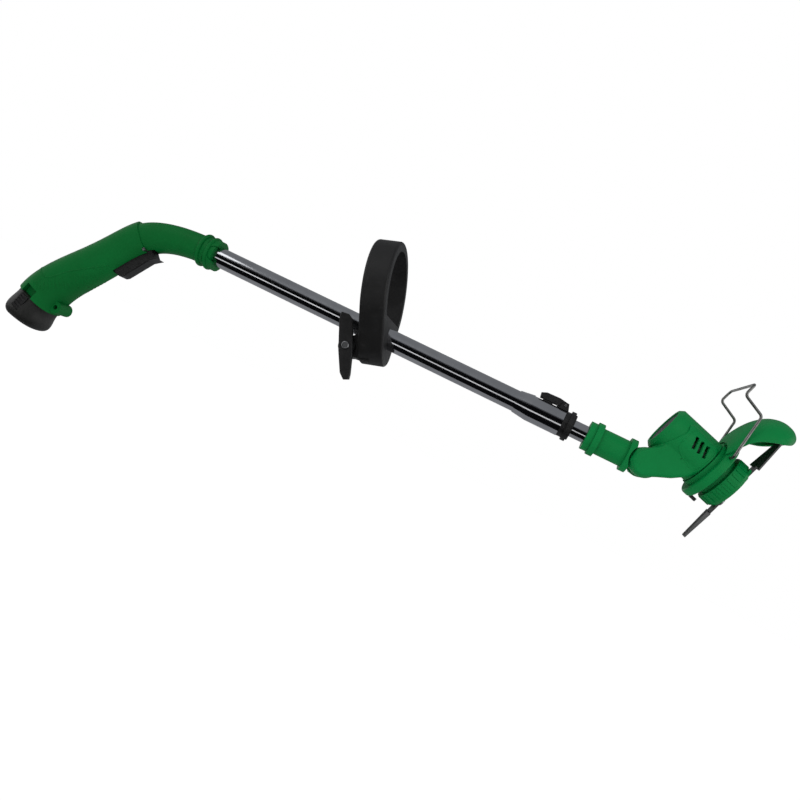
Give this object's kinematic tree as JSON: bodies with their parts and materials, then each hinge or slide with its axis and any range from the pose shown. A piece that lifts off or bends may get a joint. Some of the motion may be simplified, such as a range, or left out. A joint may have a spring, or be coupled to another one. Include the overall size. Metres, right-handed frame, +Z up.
{
  "type": "string trimmer",
  "caption": "Cordless grass trimmer with a curved rear handle, telescopic chrome pole, loop handle, tilting motor head, bladed cutting disc, guard and wire guide.",
  "frame": {"origin": "on the pole axis at the front face of the rear handle's collar", "axes": "+X forward along the pole towards the head, +Z up on the loop handle's side, +Y to the tool's left"},
  "size_m": [0.9247, 0.124, 0.3109],
  "materials": {
    "green_casing": "fine moulded satin",
    "chrome_pole": "polished plate",
    "black_plastic": "satin moulding",
    "loop_plastic": "soft matte moulding",
    "battery_plastic": "fine grained",
    "blade_plastic": "satin",
    "grey_cap": "satin",
    "guide_wire": "zinc plated wire",
    "steel_parts": "plated",
    "motor_steel": "drawn can",
    "inner_plastic": "plain"
  },
  "bodies": {
    "root": {"outer_tube": "chrome_pole", "lock_sleeve": "chrome_pole", "end_collar": "black_plastic", "guide_bush": "inner_plastic", "lever_bracket": "black_plastic", "lever_pin": "steel_parts", "handle_shell_right": "green_casing", "handle_shell_left": "green_casing", "handle_screws": "steel_parts", "trigger_pin": "steel_parts", "power_switch": "inner_plastic", "contact_block": "inner_plastic"},
    "trigger": {"trigger": "black_plastic"},
    "battery": {"battery_pack": "battery_plastic"},
    "latch_right": {"latch_right": "battery_plastic"},
    "latch_left": {"latch_left": "battery_plastic"},
    "loop": {"loop_handle": "loop_plastic", "clamp_bolt": "steel_parts", "clamp_nut": "steel_parts"},
    "clamp_lever": {"clamp_lever": "black_plastic"},
    "lock_lever": {"lock_lever": "black_plastic"},
    "inner_pole": {"inner_tube": "chrome_pole", "inner_stop": "inner_plastic"},
    "neck": {"neck_collar": "green_casing", "tube_plug": "inner_plastic"},
    "head": {"head_shell_right": "green_casing", "head_shell_left": "green_casing", "head_screw": "steel_parts", "tilt_pin": "steel_parts", "motor": "motor_steel", "motor_cap": "grey_cap", "shaft_bearing": "motor_steel", "guard": "green_casing", "line_cutter": "steel_parts"},
    "carrier": {"blade_carrier": "green_casing", "motor_shaft": "steel_parts", "hub_nut": "black_plastic", "blade_pins": "steel_parts"},
    "blade_upper": {"blade_upper": "blade_plastic"},
    "blade_lower": {"blade_lower": "blade_plastic"},
    "wire_guide": {"wire_guide": "guide_wire"}
  },
  "joints": [
    {"name": "trigger_press", "type": "hinge", "parent": "root", "child": "trigger", "pos_m": [-0.08857, 0, -0.03334], "axis": [0, 1, 0], "range_deg": [0, 4], "stiffness_Nm_per_rad": 2, "springref_deg": -8.59},
    {"name": "battery_slide", "type": "slide", "parent": "root", "child": "battery", "axis": [-0.309, 0, -0.9511], "range_m": [0, 0.05]},
    {"name": "latch_right_press", "type": "slide", "parent": "battery", "child": "latch_right", "axis": [0, 1, 0], "range_m": [0, 0.0018], "stiffness_N_per_m": 600, "springref_m": -0.002},
    {"name": "latch_left_press", "type": "slide", "parent": "battery", "child": "latch_left", "axis": [0, -1, 0], "range_m": [0, 0.0018], "stiffness_N_per_m": 600, "springref_m": -0.002},
    {"name": "loop_slide", "type": "slide", "parent": "root", "child": "loop", "axis": [1, 0, 0], "range_m": [-0.08, 0.06]},
    {"name": "clamp_open", "type": "hinge", "parent": "loop", "child": "clamp_lever", "pos_m": [0.204, 0, -0.03], "axis": [0, 1, 0], "range_deg": [-28, 0]},
    {"name": "lock_open", "type": "hinge", "parent": "root", "child": "lock_lever", "pos_m": [0.4594, 0, 0.0195], "axis": [0, 1, 0], "range_deg": [0, 60]},
    {"name": "pole_extend", "type": "slide", "parent": "root", "child": "inner_pole", "axis": [1, 0, 0], "range_m": [-0.014, 0.12]},
    {"name": "head_turn", "type": "hinge", "parent": "inner_pole", "child": "neck", "pos_m": [0.494, 0, 0], "axis": [1, 0, 0], "range_deg": [-180, 180]},
    {"name": "head_tilt", "type": "hinge", "parent": "neck", "child": "head", "pos_m": [0.562, 0, 0], "axis": [0, 1, 0], "range_deg": [-6, 50]},
    {"name": "carrier_spin", "type": "hinge", "parent": "head", "child": "carrier", "pos_m": [0.65594, 0, 0.01602], "axis": [0.9483, 0, -0.3173], "continuous": true},
    {"name": "blade_upper_swing", "type": "hinge", "parent": "carrier", "child": "blade_upper", "pos_m": [0.66228, 0, 0.03182], "axis": [0.9483, 0, -0.3173], "range_deg": [-20, 20]},
    {"name": "blade_lower_swing", "type": "hinge", "parent": "carrier", "child": "blade_lower", "pos_m": [0.65149, 0, -0.00042], "axis": [0.9483, 0, -0.3173], "range_deg": [-20, 20]},
    {"name": "guide_swing", "type": "hinge", "parent": "head", "child": "wire_guide", "pos_m": [0.63288, 0, 0.04166], "axis": [0, 1, 0], "range_deg": [-40, 12]}
  ]
}
